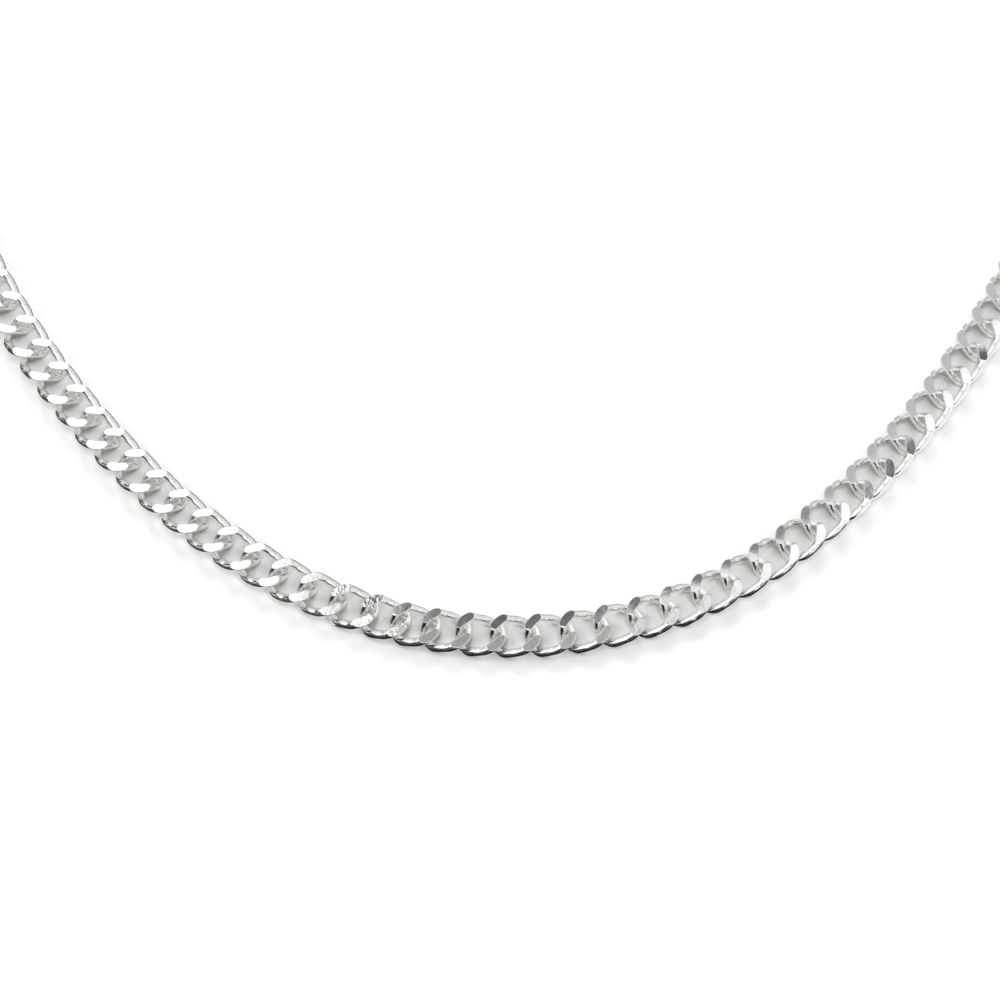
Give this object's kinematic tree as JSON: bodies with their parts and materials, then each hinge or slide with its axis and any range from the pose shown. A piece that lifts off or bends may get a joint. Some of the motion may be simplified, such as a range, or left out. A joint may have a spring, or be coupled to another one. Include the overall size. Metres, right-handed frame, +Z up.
{
  "type": "curb chain necklace",
  "caption": "Curb chain necklace of flat-cut, twisted oval links, closed in one loop by a plain clasp and laid flat.",
  "frame": {"origin": "middle of the necklace's box, on the surface that the chain lies on", "axes": "+Z up from that surface, +Y from the front of the chain to the clasp, +X to the right in the picture"},
  "size_m": [0.1418, 0.1562, 0.0022],
  "materials": {
    "silver": "polished silver, with flat-cut faces that carry fine scratches"
  },
  "bodies": {
    "root": {"chain_left": "silver", "chain_right": "silver", "clasp": "silver"}
  },
  "joints": []
}
